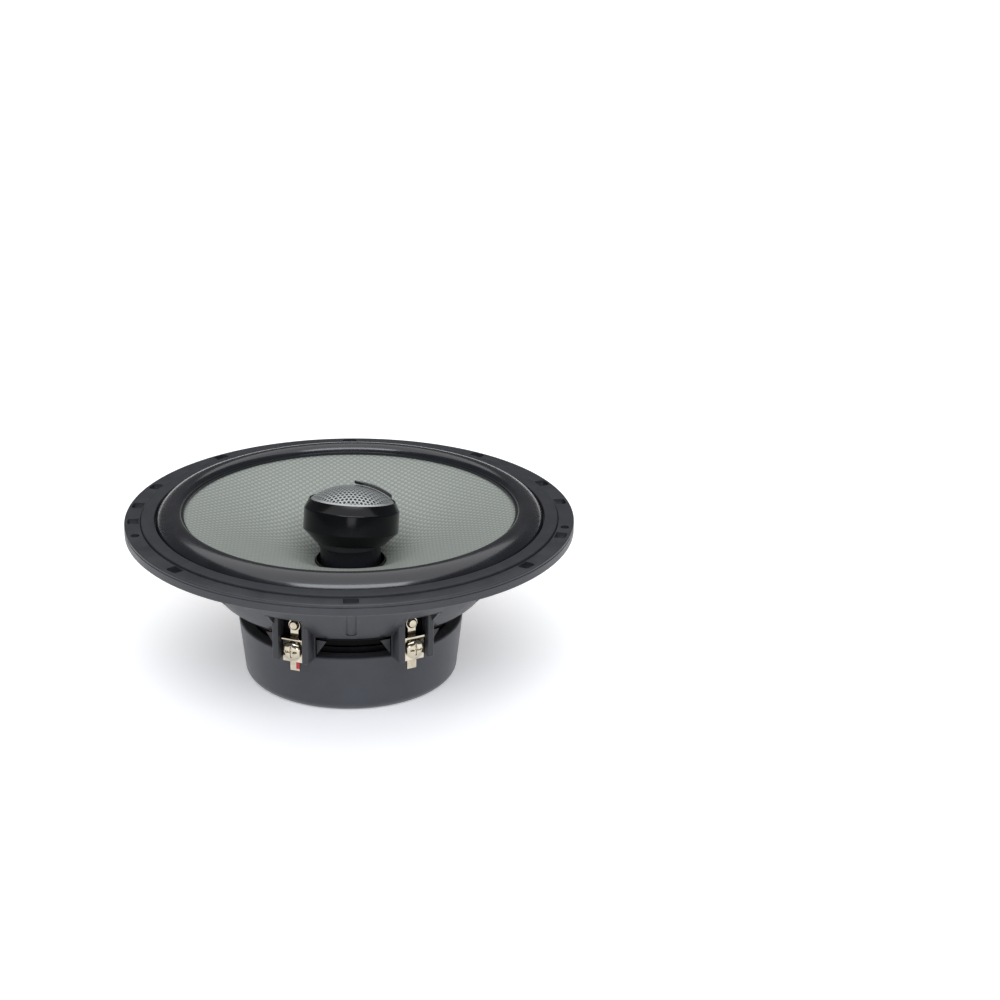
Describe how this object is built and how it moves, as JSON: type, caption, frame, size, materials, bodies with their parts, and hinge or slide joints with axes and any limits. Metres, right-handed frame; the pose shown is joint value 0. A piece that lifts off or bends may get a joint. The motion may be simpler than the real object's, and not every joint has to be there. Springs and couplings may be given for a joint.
{
  "type": "coaxial car speaker",
  "caption": "Round coaxial car speaker: glass-fibre cone, half-roll rubber surround, swivelling domed tweeter on a centre post, slotted flange and screw clamp terminals.",
  "frame": {"origin": "on the cone's axis at the flat base of the magnet's rubber boot", "axes": "+Z along the cone's axis towards the listener; -Y towards the two screw terminals; +X to the right seen from the terminals"},
  "size_m": [0.165, 0.165, 0.0727],
  "materials": {
    "basket": "moulded black plastic",
    "gasket_ring": "dense foam rubber",
    "surround": "butyl rubber",
    "spider": "resin-dipped cloth",
    "top_plate": "zinc-plated steel",
    "ferrite_magnet": "ground ferrite",
    "pole_yoke": "zinc-plated steel",
    "magnet_boot": "moulded rubber",
    "tweeter_post": "black plastic",
    "post_nut": "zinc-plated steel",
    "post_washer": "zinc-plated steel",
    "basket_rivet_1": "zinc-plated steel",
    "basket_rivet_2": "zinc-plated steel",
    "basket_rivet_3": "zinc-plated steel",
    "basket_rivet_4": "zinc-plated steel",
    "terminal_tab_left": "nickel plate",
    "terminal_tab_right": "nickel plate",
    "terminal_rivet_left": "nickel plate",
    "terminal_rivet_right": "nickel plate",
    "crossover_capacitor": "plastic sleeve",
    "tweeter_lead_positive": "PVC insulation",
    "tweeter_lead_negative": "PVC insulation",
    "tinsel_lead_left": "copper",
    "tinsel_lead_right": "copper",
    "cone": "woven glass fibre in resin",
    "voice_coil_former": "polyimide film",
    "voice_coil_winding": "copper",
    "swivel_liner": "acetal",
    "tweeter_housing": "gloss black plastic",
    "tweeter_grille": "silver-painted perforated steel",
    "badge_strip": "blank black strip",
    "tweeter_yoke": "zinc-plated steel",
    "tweeter_magnet": "nickel-plated neodymium",
    "tweeter_pole_disc": "zinc-plated steel",
    "tweeter_face_ring": "black plastic",
    "pod_lead_positive": "copper",
    "pod_lead_negative": "copper",
    "tweeter_dome_surround": "soft rubber",
    "tweeter_dome": "coated silk",
    "tweeter_coil": "copper",
    "clamp_plate_left": "nickel plate",
    "clamp_screw_left": "nickel plate",
    "clamp_plate_right": "nickel plate",
    "clamp_screw_right": "nickel plate"
  },
  "bodies": {
    "frame_and_motor": {"basket": "basket", "gasket_ring": "gasket_ring", "surround": "surround", "spider": "spider", "top_plate": "top_plate", "ferrite_magnet": "ferrite_magnet", "pole_yoke": "pole_yoke", "magnet_boot": "magnet_boot", "tweeter_post": "tweeter_post", "post_nut": "post_nut", "post_washer": "post_washer", "basket_rivet_1": "basket_rivet_1", "basket_rivet_2": "basket_rivet_2", "basket_rivet_3": "basket_rivet_3", "basket_rivet_4": "basket_rivet_4", "terminal_tab_left": "terminal_tab_left", "terminal_tab_right": "terminal_tab_right", "terminal_rivet_left": "terminal_rivet_left", "terminal_rivet_right": "terminal_rivet_right", "crossover_capacitor": "crossover_capacitor", "tweeter_lead_positive": "tweeter_lead_positive", "tweeter_lead_negative": "tweeter_lead_negative", "tinsel_lead_left": "tinsel_lead_left", "tinsel_lead_right": "tinsel_lead_right"},
    "cone_assembly": {"cone": "cone", "voice_coil_former": "voice_coil_former", "voice_coil_winding": "voice_coil_winding"},
    "swivel_liner": {"swivel_liner": "swivel_liner"},
    "tweeter_pod": {"tweeter_housing": "tweeter_housing", "tweeter_grille": "tweeter_grille", "badge_strip": "badge_strip", "tweeter_yoke": "tweeter_yoke", "tweeter_magnet": "tweeter_magnet", "tweeter_pole_disc": "tweeter_pole_disc", "tweeter_face_ring": "tweeter_face_ring", "pod_lead_positive": "pod_lead_positive", "pod_lead_negative": "pod_lead_negative", "tweeter_dome_surround": "tweeter_dome_surround"},
    "dome_and_coil": {"tweeter_dome": "tweeter_dome", "tweeter_coil": "tweeter_coil"},
    "clamp_left": {"clamp_plate_left": "clamp_plate_left"},
    "screw_left": {"clamp_screw_left": "clamp_screw_left"},
    "clamp_right": {"clamp_plate_right": "clamp_plate_right"},
    "screw_right": {"clamp_screw_right": "clamp_screw_right"}
  },
  "joints": [
    {"name": "cone_travel", "type": "slide", "parent": "frame_and_motor", "child": "cone_assembly", "axis": [0, 0, 1], "range_m": [-0.0035, 0.0035], "stiffness_N_per_m": 2000, "deforming": ["surround", "spider", "tinsel_lead_left", "tinsel_lead_right"]},
    {"name": "tweeter_pan", "type": "hinge", "parent": "frame_and_motor", "child": "swivel_liner", "pos_m": [0, 0, 0.0531], "axis": [0, 0, 1], "range_deg": [-90, 90]},
    {"name": "tweeter_tilt", "type": "hinge", "parent": "swivel_liner", "child": "tweeter_pod", "pos_m": [0, 0, 0.0531], "axis": [-0.9553, 0.2957, 0], "range_deg": [-25.6, 0]},
    {"name": "tweeter_dome_travel", "type": "slide", "parent": "tweeter_pod", "child": "dome_and_coil", "axis": [0.0655, 0.2116, 0.9751], "range_m": [-0.0002, 0.0002], "stiffness_N_per_m": 3000, "deforming": ["tweeter_dome_surround"]},
    {"name": "clamp_travel_left", "type": "slide", "parent": "frame_and_motor", "child": "clamp_left", "axis": [-0.4035, -0.915, 0], "range_m": [0, 0.0021]},
    {"name": "screw_turn_left", "type": "hinge", "parent": "clamp_left", "child": "screw_left", "pos_m": [-0.02038, -0.04621, 0.0284], "axis": [-0.4035, -0.915, 0], "range_deg": [0, 1081]},
    {"name": "clamp_travel_right", "type": "slide", "parent": "frame_and_motor", "child": "clamp_right", "axis": [0.4305, -0.9026, 0], "range_m": [0, 0.0021]},
    {"name": "screw_turn_right", "type": "hinge", "parent": "clamp_right", "child": "screw_right", "pos_m": [0.02174, -0.04558, 0.0284], "axis": [0.4305, -0.9026, 0], "range_deg": [0, 1081]}
  ],
  "couplings": [
    {"joint": "screw_turn_left", "follows": "clamp_travel_left", "rad_per_m": 8976},
    {"joint": "screw_turn_right", "follows": "clamp_travel_right", "rad_per_m": 8976}
  ]
}
